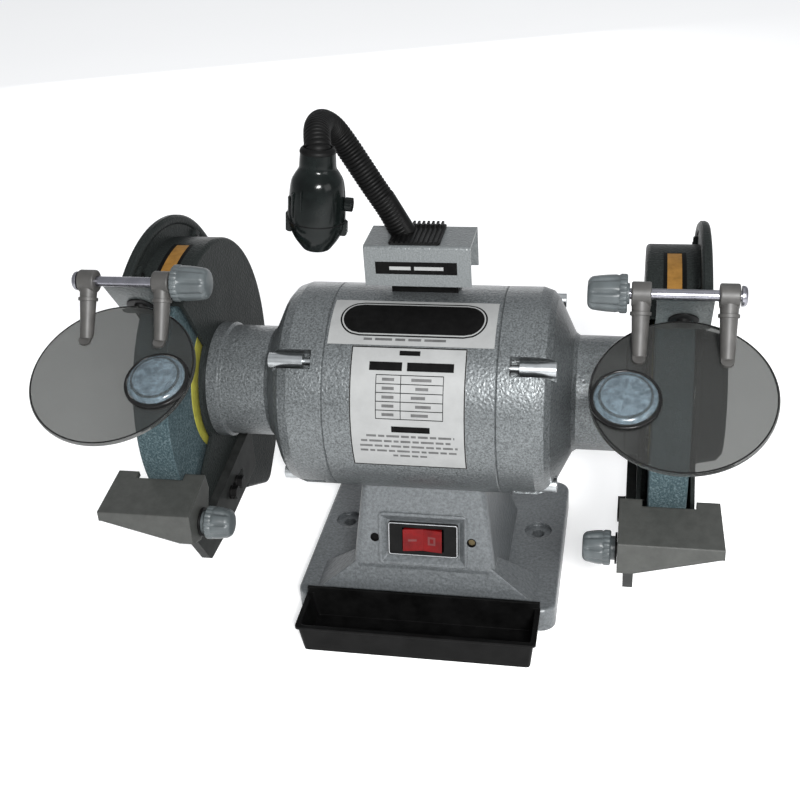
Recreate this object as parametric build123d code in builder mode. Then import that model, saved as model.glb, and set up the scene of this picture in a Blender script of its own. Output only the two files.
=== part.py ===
from build123d import *
from math import cos, radians, sin
import os

# Bench grinder: two 200 mm wheels on one motor shaft, guards, eye shields, tool rests and a lamp.
# Frame: origin on the bench below the middle of the shaft, +X along the shaft, -Y towards the user.

# ---- driving dimensions (mm) ----
SHAFT_Z = 176.0          # height of the shaft above the bench
WHEEL_R = 100.0
WHEEL_IN = 164.5         # inner face of the right-hand wheel
WHEEL_W = 25.0
MOTOR_R = 76.0
SEAM_X = 61.0            # stator housing meets the end bells
NECK_R = 41.7
COLLAR_R = 43.8
BELL_END = 157.0
GUARD_R = 108.0
GUARD_T = 3.5
GUARD_END = 193.5        # outer edge of the guard rim
COVER_R = 124.5
COVER_T = 3.0
COVER_LOW_R = 117.5      # cover between the opening and the chute
CHUTE_FROM = 277.0
OPEN_FROM = 122.0        # wheel opening, degrees from +Y towards +Z
OPEN_TO = 212.0
HUB_R = 50.0
BOLT_ANGLES = (138.0, 48.0, 318.0, 228.0)
BOLT_PITCH_R = 69.0
SHAFT_R = 12.0
SEAT_R = 10.0
ARBOR_R = 8.0
BEARING_IN = 126.0
BEARING_W = 14.0
BEARING_R = 23.5
ROD_Y = -88.0            # eye-shield rod, relative to the shaft
ROD_Z = 122.0
ROD_R = 3.4
LENS_R = 55.5
LENS_X = 181.0
LENS_TILT = 25.0         # lens plane below horizontal, towards the user
KNOB_Y = -112.0          # tool-rest clamp screw, relative to the shaft
KNOB_Z = -54.0
REST_TILT = 12.0
BASE_W = 202.0
BASE_D = 174.0
BASE_Y = 25.0
BASE_T = 20.0
MOUNT_X = 80.0
MOUNT_Y = 38.0
MOUNT_HOLE_R = 5.0
TRAY_BACK = -62.4

os.makedirs("parts", exist_ok=True)


def side_plane(x):
    """Plane across the shaft at x: local X is world Y and local Y is height above the shaft."""
    return Plane(origin=(x, 0, SHAFT_Z), x_dir=(0, 1, 0), z_dir=(1, 0, 0))


def polar(radius, degrees):
    """Point on a side plane at an angle from +Y towards +Z."""
    return (radius * cos(radians(degrees)), radius * sin(radians(degrees)))


def save(part, name):
    """Label one finished piece and write it."""
    part.label = name
    export_step(part, f"parts/{name}.step")


def save_pair(part, name):
    """Write a right-hand piece and its mirror image for the left-hand end."""
    save(part, f"right_{name}")
    with BuildPart() as left_piece:
        mirror(part, about=Plane.YZ)
    save(left_piece.part, f"left_{name}")


def both_ends(part):
    """One node that holds a right-hand piece and its mirror image."""
    with BuildPart() as pair:
        add(part)
        mirror(part, about=Plane.YZ)
    return pair.part


def turned(points):
    """Solid of revolution about the shaft from (x, radius) points that end on the axis."""
    plane = Plane(origin=(0, 0, SHAFT_Z), x_dir=(1, 0, 0), z_dir=(0, -1, 0))
    with BuildPart() as body:
        with BuildSketch(plane):
            with BuildLine():
                Polyline(points, close=True)
            make_face()
        revolve(axis=Axis((0, 0, SHAFT_Z), (1, 0, 0)))
    return body.part


def ring(x0, x1, outer, inner):
    """Plain ring about the shaft between two stations."""
    return turned([(x0, inner), (x1, inner), (x1, outer), (x0, outer)])


# ---- motor ----
def make_stator_housing():
    with BuildPart() as housing:
        with BuildSketch(side_plane(-SEAM_X)):
            Circle(MOTOR_R)
            Circle(MOTOR_R - 3.5, mode=Mode.SUBTRACT)
        extrude(amount=2 * SEAM_X)
        chamfer(housing.edges().filter_by(GeomType.CIRCLE).group_by(SortBy.RADIUS)[-1], 0.8)
    return housing.part


def make_end_bell():
    """Right-hand end bell: barrel, tapered shoulder, long neck and bearing seat."""
    seat_end = BEARING_IN + BEARING_W
    outer = [(SEAM_X, 0), (SEAM_X, MOTOR_R - 0.8), (SEAM_X + 0.8, MOTOR_R), (86.3, MOTOR_R),
             (93.5, 73.5), (97.5, 69), (110, NECK_R + 2), (113, NECK_R), (146.5, NECK_R),
             (148, COLLAR_R), (BELL_END, COLLAR_R), (BELL_END, 0)]
    inner = [(SEAM_X - 1, 0), (SEAM_X - 1, 59), (82, 59), (98, 37), (118, 36), (118, BEARING_R),
             (seat_end, BEARING_R), (seat_end, SHAFT_R + 2), (BELL_END + 1, SHAFT_R + 2),
             (BELL_END + 1, 0)]
    pocket_r = BOLT_PITCH_R + 5.5
    with BuildPart() as bell:
        add(turned(outer))
        add(turned(inner), mode=Mode.SUBTRACT)
        for angle in BOLT_ANGLES:
            centre = polar(pocket_r, angle)
            with BuildSketch(side_plane(69.5)):
                with Locations(centre):
                    Rectangle(24, 14, rotation=angle)
            extrude(amount=40, mode=Mode.SUBTRACT)
            with BuildSketch(side_plane(SEAM_X)):
                with Locations(polar(BOLT_PITCH_R, angle)):
                    Circle(2.75)
            extrude(amount=10, mode=Mode.SUBTRACT)
        with BuildSketch(side_plane(BELL_END)):
            with PolarLocations(30, 3, start_angle=90):
                Circle(2.5)
        extrude(amount=-14, mode=Mode.SUBTRACT)
    return bell.part


def make_stator_core():
    with BuildPart() as core:
        with BuildSketch(side_plane(-35)):
            Circle(MOTOR_R - 3.5)
            Circle(38, mode=Mode.SUBTRACT)
            for angle in BOLT_ANGLES:
                with Locations(polar(BOLT_PITCH_R + 1, angle)):
                    Rectangle(9, 6.5, rotation=angle, mode=Mode.SUBTRACT)
            with PolarLocations(45, 24):
                SlotOverall(10, 3.4, mode=Mode.SUBTRACT)
        extrude(amount=70)
    return core.part


def make_stator_windings():
    profile = [(35, 42), (50, 42), (54, 46), (54, 56), (50, 60), (35, 60)]
    return both_ends(turned(profile))


def make_rotor_core():
    with BuildPart() as rotor:
        add(ring(-35, 35, 37.5, SHAFT_R))
        add(ring(35, 43, 35, 24))
        add(ring(-43, -35, 35, 24))
    return rotor.part


def make_motor_shaft():
    """One shaft: rotor seat, bearing seats and the two threaded wheel arbors."""
    end = 211.0
    half = [(0, SHAFT_R), (121, SHAFT_R), (121, SEAT_R), (160.9, SEAT_R), (160.9, ARBOR_R),
            (end - 1.5, ARBOR_R), (end, ARBOR_R - 1.5)]
    points = [(-x, r) for x, r in reversed(half[1:])] + half
    profile = [(-end, 0)] + points + [(end, 0)]
    return turned(profile)


def make_through_bolts():
    with BuildPart() as bolts:
        for angle in BOLT_ANGLES:
            centre = polar(BOLT_PITCH_R, angle)
            with BuildSketch(side_plane(-77)):
                with Locations(centre):
                    Circle(2.5)
            extrude(amount=154)
            for start in (-101, 76):
                with BuildSketch(side_plane(start)):
                    with Locations(centre):
                        Circle(5.2)
                extrude(amount=25)
    return bolts.part


def make_bearing_outer_rings():
    x1 = BEARING_IN + BEARING_W
    profile = [(BEARING_IN, BEARING_R), (BEARING_IN, 20), (BEARING_IN + 3, 20),
               (BEARING_IN + 5, 21), (x1 - 5, 21), (x1 - 3, 20), (x1, 20), (x1, BEARING_R)]
    return both_ends(turned(profile))


def make_bearing_inner_rings():
    x1 = BEARING_IN + BEARING_W
    profile = [(BEARING_IN, SEAT_R), (BEARING_IN, 14), (BEARING_IN + 3, 14),
               (BEARING_IN + 5, 12.9), (x1 - 5, 12.9), (x1 - 3, 14), (x1, 14), (x1, SEAT_R)]
    return both_ends(turned(profile))


def make_bearing_balls():
    middle = side_plane(BEARING_IN + BEARING_W / 2)
    with BuildPart(middle) as balls:
        with PolarLocations(16.95, 9):
            Sphere(3.95)
    return both_ends(balls.part)


# ---- wheels and what clamps them ----
def make_grinding_wheel():
    with BuildPart() as wheel:
        add(ring(WHEEL_IN, WHEEL_IN + WHEEL_W, WHEEL_R, ARBOR_R + 0.05))
        chamfer(wheel.edges().filter_by(GeomType.CIRCLE).group_by(SortBy.RADIUS)[-1], 0.8)
    return wheel.part


def make_wheel_flanges():
    """Inner and outer clamping flanges, relieved so that they bear on an outer band."""
    x_in = WHEEL_IN - 0.6
    x_out = WHEEL_IN + WHEEL_W + 0.6
    inner = [(161, ARBOR_R), (161, 16), (162.2, 18), (162.2, 40), (x_in, 40), (x_in, 30),
             (x_in - 1, 29), (x_in - 1, ARBOR_R)]
    outer = [(x_out + 4.4, ARBOR_R), (x_out + 4.4, 16), (x_out + 3, 38), (x_out + 2, 40),
             (x_out, 40), (x_out, 30), (x_out + 1, 29), (x_out + 1, ARBOR_R)]
    with BuildPart() as flanges:
        add(both_ends(turned(inner)))
        add(both_ends(turned(outer)))
    return flanges.part


def make_wheel_blotters():
    x_out = WHEEL_IN + WHEEL_W
    with BuildPart() as blotters:
        add(both_ends(ring(WHEEL_IN - 0.6, WHEEL_IN, 53, ARBOR_R + 0.5)))
        add(both_ends(ring(x_out, x_out + 0.6, 53, ARBOR_R + 0.5)))
    return blotters.part


def make_wheel_nuts():
    start = WHEEL_IN + WHEEL_W + 5
    with BuildPart() as nut:
        with BuildSketch(side_plane(start)):
            RegularPolygon(12, 6, major_radius=False)
            Circle(ARBOR_R, mode=Mode.SUBTRACT)
        extrude(amount=11)
    return both_ends(nut.part)


# ---- wheel guards ----
def guard_outline():
    """Round housing with a dust chute that leaves it at the lower back."""
    with BuildSketch() as outline:
        Circle(GUARD_R)
        with BuildLine():
            Polyline((GUARD_R, 0), (98, -118), (66, -142), (14, -112), (14, -60), (60, 0),
                     close=True)
        make_face()
        fillet([v for v in outline.vertices() if v.Y < -117], 14)
    return outline.sketch


def opening_wedge(radius, start, stop, hub):
    """Sector of the wheel left open in front, outside the hub disc."""
    reach = 3 * radius
    middle = (start + stop) / 2
    with BuildSketch() as wedge:
        with BuildLine():
            Polyline((0, 0), polar(reach, start), polar(reach, middle), polar(reach, stop),
                     close=True)
        make_face()
        Circle(hub, mode=Mode.SUBTRACT)
    return wedge.sketch


TAB_X = 181.2            # middle of the arrestor and of its tab
TAB_SCREW = 31.0         # arrestor clamp screw below the rod, along the plate


def arrestor_plane(x=0.0):
    """Plane of the spark arrestor at the rod: local X is world X, local Y runs down the plate."""
    return Plane(origin=(x, ROD_Y, SHAFT_Z + ROD_Z), x_dir=(1, 0, 0), z_dir=(0, 0.8, 0.6))


EAR_R = GUARD_R + 4
SCREW_SPOTS = ((polar(EAR_R, 111), 111), (polar(EAR_R, 51), 51), (polar(EAR_R, 4), 4),
               ((95.5, -88), 0), (polar(EAR_R, 237), 237))


def make_wheel_guard():
    """Inner half of the guard: side wall, rim, chute, screw ears and the arrestor pad."""
    outline = guard_outline()
    with BuildSketch() as inner_face:
        add(outline)
        offset(amount=-GUARD_T, mode=Mode.REPLACE)
    wedge = opening_wedge(GUARD_R, OPEN_FROM, OPEN_TO, HUB_R)
    with BuildPart() as guard:
        with BuildSketch(side_plane(BELL_END)):
            add(outline)
            add(wedge, mode=Mode.SUBTRACT)
            Circle(SHAFT_R + 3, mode=Mode.SUBTRACT)
            with PolarLocations(30, 3, start_angle=90):
                Circle(2.8, mode=Mode.SUBTRACT)
        extrude(amount=3)
        with BuildSketch(side_plane(BELL_END)):
            add(outline)
            add(inner_face.sketch, mode=Mode.SUBTRACT)
            add(wedge, mode=Mode.SUBTRACT)
            with Locations((40, -128)):
                Rectangle(44, 22, rotation=-30, mode=Mode.SUBTRACT)
        extrude(amount=GUARD_END - BELL_END)
        with BuildSketch(side_plane(GUARD_END - 3)):
            for spot, angle in SCREW_SPOTS:
                with Locations(spot):
                    Rectangle(10, 8, rotation=angle)
        extrude(amount=3)
        with BuildSketch(side_plane(GUARD_END - 8)):
            for spot, _ in SCREW_SPOTS:
                with Locations(spot):
                    Circle(2.1)
        extrude(amount=9, mode=Mode.SUBTRACT)
        with BuildSketch(arrestor_plane(TAB_X).offset(1.45)):
            with Locations((0, 33)):
                Rectangle(24, 26)
        extrude(amount=3.5)
        with BuildSketch(arrestor_plane(TAB_X).offset(1.45)):
            with Locations((0, 44.2)):
                Rectangle(24, 3.6)
        extrude(amount=6.6)
        with BuildSketch(arrestor_plane(TAB_X)):
            with Locations((0, TAB_SCREW)):
                Circle(3.05)
        extrude(amount=10, mode=Mode.SUBTRACT)
        fillet(guard.edges().filter_by(GeomType.CIRCLE).filter_by(
            lambda e: abs(e.radius - GUARD_R) < 0.1 and e.center().X < BELL_END + 1), 2.9)
        fillet(guard.edges().filter_by(GeomType.CIRCLE).filter_by(
            lambda e: abs(e.radius - GUARD_R + GUARD_T) < 0.1 and e.center().X < BELL_END + 4), 2)
    return guard.part


def make_guard_cover():
    """Outer cover plate with its pressed hub dish."""
    x0 = GUARD_END
    dish = [(x0, 45.5), (x0 + 3, 45.5), (210.5, 43), (213, 40), (213, 0), (215, 0),
            (215, 41), (211.5, 45), (x0 + 5, 48), (x0 + 3, 50), (x0, 50)]
    with BuildPart() as cover:
        with BuildSketch(side_plane(x0)):
            Circle(COVER_R)
            add(guard_outline())
            add(opening_wedge(COVER_R, OPEN_FROM, OPEN_TO, HUB_R), mode=Mode.SUBTRACT)
            add(opening_wedge(COVER_R, OPEN_TO - 1, CHUTE_FROM, COVER_LOW_R), mode=Mode.SUBTRACT)
            Circle(46, mode=Mode.SUBTRACT)
            for spot, _ in SCREW_SPOTS:
                with Locations(spot):
                    Circle(2.2, mode=Mode.SUBTRACT)
        extrude(amount=COVER_T)
        add(turned(dish))
    return cover.part


def make_guard_cover_screws():
    """Pan-head screws that hold the cover plates to the ears of the guards."""
    with BuildPart() as screws:
        with BuildSketch(side_plane(GUARD_END - 3.6)):
            for spot, _ in SCREW_SPOTS:
                with Locations(spot):
                    Circle(2.05)
        extrude(amount=3.6 + COVER_T)
        with BuildSketch(side_plane(GUARD_END + COVER_T)):
            for spot, _ in SCREW_SPOTS:
                with Locations(spot):
                    Circle(4)
        extrude(amount=2.6, taper=18)
    return both_ends(screws.part)


def make_guard_mount_screws():
    """Countersunk screws that hold the guards to the end bells."""
    with BuildPart() as screws:
        with BuildSketch(side_plane(BELL_END + 3)):
            with PolarLocations(30, 3, start_angle=90):
                Circle(2.75)
        extrude(amount=-3)
        with BuildSketch(side_plane(BELL_END)):
            with PolarLocations(30, 3, start_angle=90):
                Circle(2.45)
        extrude(amount=-12)
    return both_ends(screws.part)


# ---- spark arrestor and eye shield ----
def make_spark_arrestor():
    """Adjustable plate above the wheel that also carries the eye-shield rod."""
    with BuildPart() as plate:
        with BuildSketch(arrestor_plane(TAB_X).offset(-1.25)):
            with Locations((0, 23.5)):
                RectangleRounded(34.4, 43, 3)
            with Locations((0, TAB_SCREW + 2.2)):
                SlotOverall(16.4, 6.6, rotation=90, mode=Mode.SUBTRACT)
        extrude(amount=2.5)
        with BuildSketch(Plane(origin=(160, ROD_Y, SHAFT_Z + ROD_Z), z_dir=(1, 0, 0))):
            Circle(ROD_R)
        extrude(amount=50, mode=Mode.SUBTRACT)
    return plate.part


def make_arrestor_screws():
    """Washer-faced clamp screws through the arrestor slots."""
    head = arrestor_plane(TAB_X).offset(-1.4)
    with BuildPart() as screw:
        with BuildSketch(head):
            with Locations((0, TAB_SCREW)):
                Circle(8.5)
        extrude(amount=-0.8)
        with BuildSketch(head.offset(-0.8)):
            with Locations((0, TAB_SCREW)):
                Circle(4.6)
        extrude(amount=-2.2, taper=12)
        with BuildSketch(head):
            with Locations((0, TAB_SCREW)):
                Circle(3.0)
        extrude(amount=9)
    return both_ends(screw.part)


def rod_plane(x):
    return Plane(origin=(x, ROD_Y, SHAFT_Z + ROD_Z), x_dir=(0, 1, 0), z_dir=(1, 0, 0))


def make_shield_rod():
    with BuildPart() as rod:
        with BuildSketch(rod_plane(147.6)):
            Circle(ROD_R)
        extrude(amount=66)
        with BuildSketch(rod_plane(130)):
            Circle(ROD_R - 0.2)
        extrude(amount=18)
        with BuildSketch(rod_plane(213.6)):
            Circle(6.4)
        extrude(amount=3.4)
        fillet(rod.faces().sort_by(Axis.X)[-1].edges(), 2.6)
    return rod.part


def lens_plane(lift=0.0):
    """Plane of the lens at its centre: local X is world X and local Y runs towards the user."""
    tilt = radians(LENS_TILT)
    normal = (0, -sin(tilt), cos(tilt))
    centre = (LENS_X, -131, SHAFT_Z + 76.5)
    return Plane(origin=centre, x_dir=(-1, 0, 0), z_dir=normal).offset(lift)


FOOT_BACK = -25.4        # clip feet on the lens, behind its centre
CLIP_X = (154.5, 206.6)
BOSS_R = 7.6


def make_shield_clips():
    """Two moulded posts: a boss on the rod, a tapering stem and a foot bonded to the lens."""
    foot_y = -131 - FOOT_BACK * cos(radians(LENS_TILT))
    foot_z = 76.5 - FOOT_BACK * sin(radians(LENS_TILT))
    stem = Vector(0, foot_y - ROD_Y, foot_z - ROD_Z)
    reach = stem.length
    with BuildPart() as clips:
        for x in CLIP_X:
            with BuildSketch(rod_plane(x - 6)):
                Circle(BOSS_R)
            extrude(amount=12)
            top = Plane(origin=(x, ROD_Y, SHAFT_Z + ROD_Z), x_dir=(1, 0, 0), z_dir=stem)
            with BuildSketch(top):
                Circle(6.0)
            with BuildSketch(top.offset(reach - 2.0)):
                Circle(4.4)
            loft()
            with BuildSketch(top.offset(11)):
                Circle(6.5)
            extrude(amount=2.2)
            with BuildSketch(lens_plane(1.5)):
                with Locations((LENS_X - x, FOOT_BACK)):
                    RectangleRounded(8, 10, 3.5)
            extrude(amount=2)
            with BuildSketch(rod_plane(x - 8)):
                Circle(ROD_R + 0.1)
            extrude(amount=16, mode=Mode.SUBTRACT)
        with BuildSketch(lens_plane(1.5)):
            Circle(LENS_R)
        extrude(amount=-12, mode=Mode.SUBTRACT)
        fillet(clips.edges().filter_by(GeomType.CIRCLE).filter_by(
            lambda e: abs(e.radius - BOSS_R) < 0.05), 1.2)
    return clips.part


MAGNIFIER_U = 33.2
MAGNIFIER_V = 6.4


def make_shield_lens():
    """Round clear lens with a domed magnifier moulded into its inner side."""
    with BuildPart() as lens:
        with BuildSketch(lens_plane(-1.5)):
            Circle(LENS_R)
        extrude(amount=3)
        chamfer(lens.edges().filter_by(GeomType.CIRCLE), 0.6)
        with BuildSketch(lens_plane(-3.0)):
            with Locations((MAGNIFIER_U, MAGNIFIER_V)):
                Circle(19.5)
        extrude(amount=7.5)
        with BuildSketch(lens_plane(4.5)):
            with Locations((MAGNIFIER_U, MAGNIFIER_V)):
                Circle(18.5)
        extrude(amount=3, taper=42)
    return lens.part


def fluted_knob(plane, length, radius, flutes):
    """Moulded knob along +Z of its plane, with grip flutes and a domed far end."""
    with BuildPart() as knob:
        with BuildSketch(plane):
            Circle(radius)
            with PolarLocations(radius + 1.6, flutes):
                Circle(3.2, mode=Mode.SUBTRACT)
        extrude(amount=length)
        with BuildSketch(plane.offset(length)):
            Circle(radius - 2.5)
        extrude(amount=2.0, taper=35)
    return knob.part


def make_shield_knob():
    """Clamp knob on the inner end of the shield rod."""
    face = Plane(origin=(146.2, ROD_Y, SHAFT_Z + ROD_Z), x_dir=(0, 1, 0), z_dir=(-1, 0, 0))
    with BuildPart() as knob:
        add(fluted_knob(face, 23, 12.1, 8))
        with BuildSketch(face):
            Circle(6.5)
        extrude(amount=-1.3)
        with BuildSketch(face.offset(-2)):
            Circle(ROD_R - 0.15)
        extrude(amount=20, mode=Mode.SUBTRACT)
    return knob.part


# ---- tool rests ----
def rest_plane(x):
    """Plane across the shaft at the clamp screw, turned so that local X runs up the table."""
    tilt = radians(REST_TILT)
    along = (0, cos(tilt), sin(tilt))
    return Plane(origin=(x, KNOB_Y, SHAFT_Z + KNOB_Z), x_dir=along, z_dir=(1, 0, 0))


def make_rest_table():
    """Folded table: top with a notch for the wheel, tapering apron and a clamping flange."""
    back = 24.3
    front = -16.6
    top = 22.9
    thick = 4.0
    x0 = 146.0
    x1 = 214.5
    apron = 0.4
    outer_apron = 15.4
    with BuildPart() as table:
        with BuildSketch(rest_plane(x0)):
            with BuildLine():
                Polyline((back, top), (front, top), (front - 5, apron), (front - 1, apron),
                         (front + thick, top - thick), (back, top - thick), close=True)
            make_face()
        extrude(amount=x1 - x0)
        with BuildSketch(rest_plane(x0)):
            with BuildLine():
                Polyline((back, top), (front, top), (front - 5, apron), (-9, -9), (8, -9),
                         (back, 10), close=True)
            make_face()
        extrude(amount=3.9)
        tilt = radians(REST_TILT)
        normal = (0, -cos(tilt), -sin(tilt))
        facing = Plane(origin=(x0, KNOB_Y, SHAFT_Z + KNOB_Z), x_dir=(1, 0, 0), z_dir=normal)
        with BuildSketch(facing):
            with BuildLine():
                Polyline((10, -12), (10, apron), (66, outer_apron), (72, outer_apron), (72, -12),
                         close=True)
            make_face()
        extrude(amount=40, mode=Mode.SUBTRACT)
        above = Plane(rest_plane(x0).origin, x_dir=(1, 0, 0), z_dir=(0, -sin(tilt), cos(tilt)))
        with BuildSketch(above):
            with Locations((32.5, back)):
                Rectangle(35, 12.6)
            with BuildLine():
                Polyline((65.3, back + 1), (72, back + 1), (72, -30), (68.6, -30), close=True)
            make_face()
        extrude(amount=40, mode=Mode.SUBTRACT)
        with BuildSketch(rest_plane(x0 - 1)):
            Circle(4.08)
        extrude(amount=6, mode=Mode.SUBTRACT)
    return table.part


ARM_X = 150.0
ARM_BOLTS = ((-27, -77.7), (-41, -77.7))


def make_rest_arm():
    """Flat hooked arm between the guard wall and the table's clamp screw."""
    lobe = 12.5
    with BuildPart() as arm:
        with BuildSketch(side_plane(ARM_X)) as shape:
            with BuildLine():
                Polyline((20, -56), (-78, -68), (-99, -53), (-117, -53), (-123, -58),
                         (-98, -99), (-70, -100), (20, -93), close=True)
            make_face()
            fillet(shape.vertices().filter_by(lambda v: v.Y < -98), 6)
            with Locations((KNOB_Y, KNOB_Z)):
                Circle(lobe)
            with Locations((KNOB_Y, KNOB_Z)):
                Circle(4.08, mode=Mode.SUBTRACT)
            with Locations((-28.75, ARM_BOLTS[0][1])):
                SlotOverall(36, 6.6, mode=Mode.SUBTRACT)
        extrude(amount=BELL_END - ARM_X - 0.1)
    return arm.part


def make_rest_arm_bolts():
    """Hexagon screws through the slots of the arms into the guard walls."""
    with BuildPart() as bolts:
        with BuildSketch(side_plane(ARM_X - 0.1)):
            for centre in ARM_BOLTS:
                with Locations(centre):
                    Circle(5.6)
        extrude(amount=-1.4)
        with BuildSketch(side_plane(ARM_X - 1.5)):
            for centre in ARM_BOLTS:
                with Locations(centre):
                    RegularPolygon(4.6, 6, major_radius=False)
        extrude(amount=-4.2)
        with BuildSketch(side_plane(ARM_X - 0.1)):
            for centre in ARM_BOLTS:
                with Locations(centre):
                    Circle(3)
        extrude(amount=BELL_END - ARM_X + 0.1)
    return both_ends(bolts.part)


def make_rest_knob():
    """Clamp knob with its stud and spacer, turning in the end of the arm."""
    face = Plane(origin=(141.5, KNOB_Y, SHAFT_Z + KNOB_Z), x_dir=(0, 1, 0), z_dir=(-1, 0, 0))
    with BuildPart() as knob:
        add(fluted_knob(face, 17.5, 11.8, 8))
        with BuildSketch(face):
            Circle(8.5)
        extrude(amount=-4.3)
        with BuildSketch(face):
            Circle(4)
        extrude(amount=-15)
    return knob.part


# ---- base ----
FACE_TOP = (-36.0, 112.0)     # front face of the pedestal: (y, z) at its top and foot
FACE_FOOT = (-52.0, 46.0)
SWITCH_DOWN = 45.5            # switch centre below the top of the face, along the face
SWITCH_FLOOR = -2.6           # bottom of the switch recess, below the face
SCREW_OUT = 37.3              # panel screws, from the middle of the switch
SCREW_SEAT = -3.4


def switch_plane(lift=0.0):
    """Plane of the pedestal's front face at the middle of the switch."""
    down = Vector(0, FACE_FOOT[0] - FACE_TOP[0], FACE_FOOT[1] - FACE_TOP[1]).normalized()
    centre = Vector(0, *FACE_TOP) + down * SWITCH_DOWN
    return Plane(origin=centre, x_dir=(1, 0, 0), z_dir=(0, down.Z, -down.Y)).offset(lift)


def box_section(z, half_x, y0, y1, radius):
    """Rounded rectangle at height z from y0 to y1."""
    with BuildSketch(Plane.XY.offset(z)) as section:
        with Locations((0, (y0 + y1) / 2)):
            RectangleRounded(2 * half_x, y1 - y0, radius)
    return section.sketch


def gland_plane(lift=0.0):
    """Plane on the sloping back wall of the pedestal, where the supply lead enters."""
    return Plane(origin=(0, 54.8, 60), x_dir=(1, 0, 0), z_dir=(0, 79, 18.15)).offset(lift)


def make_base_casting():
    """Cast base: foot plate, sloping skirt, pedestal with a saddle for the motor."""
    with BuildPart() as base:
        add(box_section(0, BASE_W / 2, BASE_Y - BASE_D / 2, BASE_Y + BASE_D / 2, 12))
        extrude(amount=BASE_T)
        fillet(base.faces().sort_by(Axis.Z)[-1].edges(), 3)
        with BuildSketch(Plane.XY.offset(BASE_T - 6)):
            with Locations((0, -37)):
                Rectangle(186, 41)
        with BuildSketch(Plane.XY.offset(FACE_FOOT[1] + 1)):
            with Locations((0, -42)):
                Rectangle(106, 18)
        loft()
        with BuildSketch(Plane.XY.offset(BASE_T - 5)):
            with Locations((0, 11.5)):
                RectangleRounded(122, 123, 6)
        with BuildSketch(Plane.XY.offset(FACE_FOOT[1])):
            with Locations((0, 3)):
                RectangleRounded(110, 110, 6)
        with BuildSketch(Plane.XY.offset(125)):
            with Locations((0, 3.5)):
                RectangleRounded(90, 72.7, 6)
        loft(ruled=True)
        with BuildSketch(side_plane(-120)):
            Circle(MOTOR_R)
        extrude(amount=240, mode=Mode.SUBTRACT)
        add(box_section(-1, 93, -56, 106, 8))
        extrude(amount=3, mode=Mode.SUBTRACT)
        add(box_section(0, 88, -50, 100, 8))
        extrude(amount=12, mode=Mode.SUBTRACT)
        with BuildSketch(Plane.XY.offset(0)):
            with Locations((0, 4)):
                Rectangle(104, 100)
        with BuildSketch(Plane.XY.offset(88)):
            with Locations((0, 3.5)):
                Rectangle(84, 77)
        loft(mode=Mode.SUBTRACT)
        with BuildSketch(Plane.XY):
            with Locations((-MOUNT_X, MOUNT_Y), (MOUNT_X, MOUNT_Y)):
                Circle(11.5)
        extrude(amount=13)
        with BuildSketch(Plane.XY.offset(-1)):
            with Locations((-MOUNT_X, MOUNT_Y), (MOUNT_X, MOUNT_Y)):
                Circle(MOUNT_HOLE_R)
        extrude(amount=40, mode=Mode.SUBTRACT)
        with BuildSketch(Plane.XY.offset(BASE_T - 3)):
            with Locations((-MOUNT_X, MOUNT_Y), (MOUNT_X, MOUNT_Y)):
                Circle(11)
        extrude(amount=40, mode=Mode.SUBTRACT)
        with BuildSketch(switch_plane(-1)):
            RectangleRounded(68, 43, 4)
        extrude(amount=2.2)
        with BuildSketch(switch_plane(1.3)):
            Rectangle(64.5, 38.5)
        with BuildSketch(switch_plane(SWITCH_FLOOR)):
            Rectangle(56, 29)
        loft(mode=Mode.SUBTRACT)
        with BuildSketch(switch_plane(2)):
            Rectangle(46.2, 22.2)
        extrude(amount=-30, mode=Mode.SUBTRACT)
        with BuildSketch(switch_plane(-12)):
            with Locations((-SCREW_OUT, 0), (SCREW_OUT, 0)):
                Circle(1.9)
        extrude(amount=16, mode=Mode.SUBTRACT)
        with BuildSketch(switch_plane(SCREW_SEAT)):
            with Locations((-SCREW_OUT, 0), (SCREW_OUT, 0)):
                Circle(3.5)
        extrude(amount=16, mode=Mode.SUBTRACT)
        with BuildSketch(gland_plane(-15)):
            Circle(8)
        extrude(amount=40, mode=Mode.SUBTRACT)
    return base.part


def make_base_bottom_plate():
    """Sheet cover that closes the underside of the base."""
    with BuildPart() as plate:
        add(box_section(0, 92.6, -55.6, 105.6, 8))
        extrude(amount=2)
        with BuildSketch(Plane.XY):
            with Locations((-MOUNT_X, MOUNT_Y), (MOUNT_X, MOUNT_Y)):
                Circle(13)
        extrude(amount=5, mode=Mode.SUBTRACT)
    return plate.part


def make_switch_body():
    """Rocker switch housing with its bezel."""
    with BuildPart() as body:
        with BuildSketch(switch_plane(SWITCH_FLOOR)):
            RectangleRounded(54, 27, 2)
        extrude(amount=2.4)
        with BuildSketch(switch_plane(SWITCH_FLOOR)):
            Rectangle(46, 22)
        extrude(amount=-22)
        with BuildSketch(switch_plane(3)):
            Rectangle(32, 18.6)
        extrude(amount=-20, mode=Mode.SUBTRACT)
    return body.part


def make_switch_rocker():
    """Rocking key, hinged at its middle about the direction up the face."""
    face = switch_plane(SWITCH_FLOOR + 2.2)
    key_side = Plane(origin=face.origin, x_dir=(1, 0, 0), z_dir=-face.y_dir)
    with BuildPart() as rocker:
        with BuildSketch(key_side.offset(-8.8)):
            with BuildLine():
                Polyline((-15, 3.2), (0, 0.6), (15, 3.2), (14, -4), (4, -9), (-4, -9),
                         (-14, -4), close=True)
            make_face()
        extrude(amount=17.6)
    return rocker.part


def make_panel_screws():
    """Pan-head screws beside the switch."""
    with BuildPart() as screws:
        with BuildSketch(switch_plane(SCREW_SEAT)):
            with Locations((-SCREW_OUT, 0), (SCREW_OUT, 0)):
                Circle(3.1)
        extrude(amount=1.8, taper=16)
        with BuildSketch(switch_plane(SCREW_SEAT)):
            with Locations((-SCREW_OUT, 0), (SCREW_OUT, 0)):
                Circle(1.85)
        extrude(amount=-6)
    return screws.part


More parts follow.
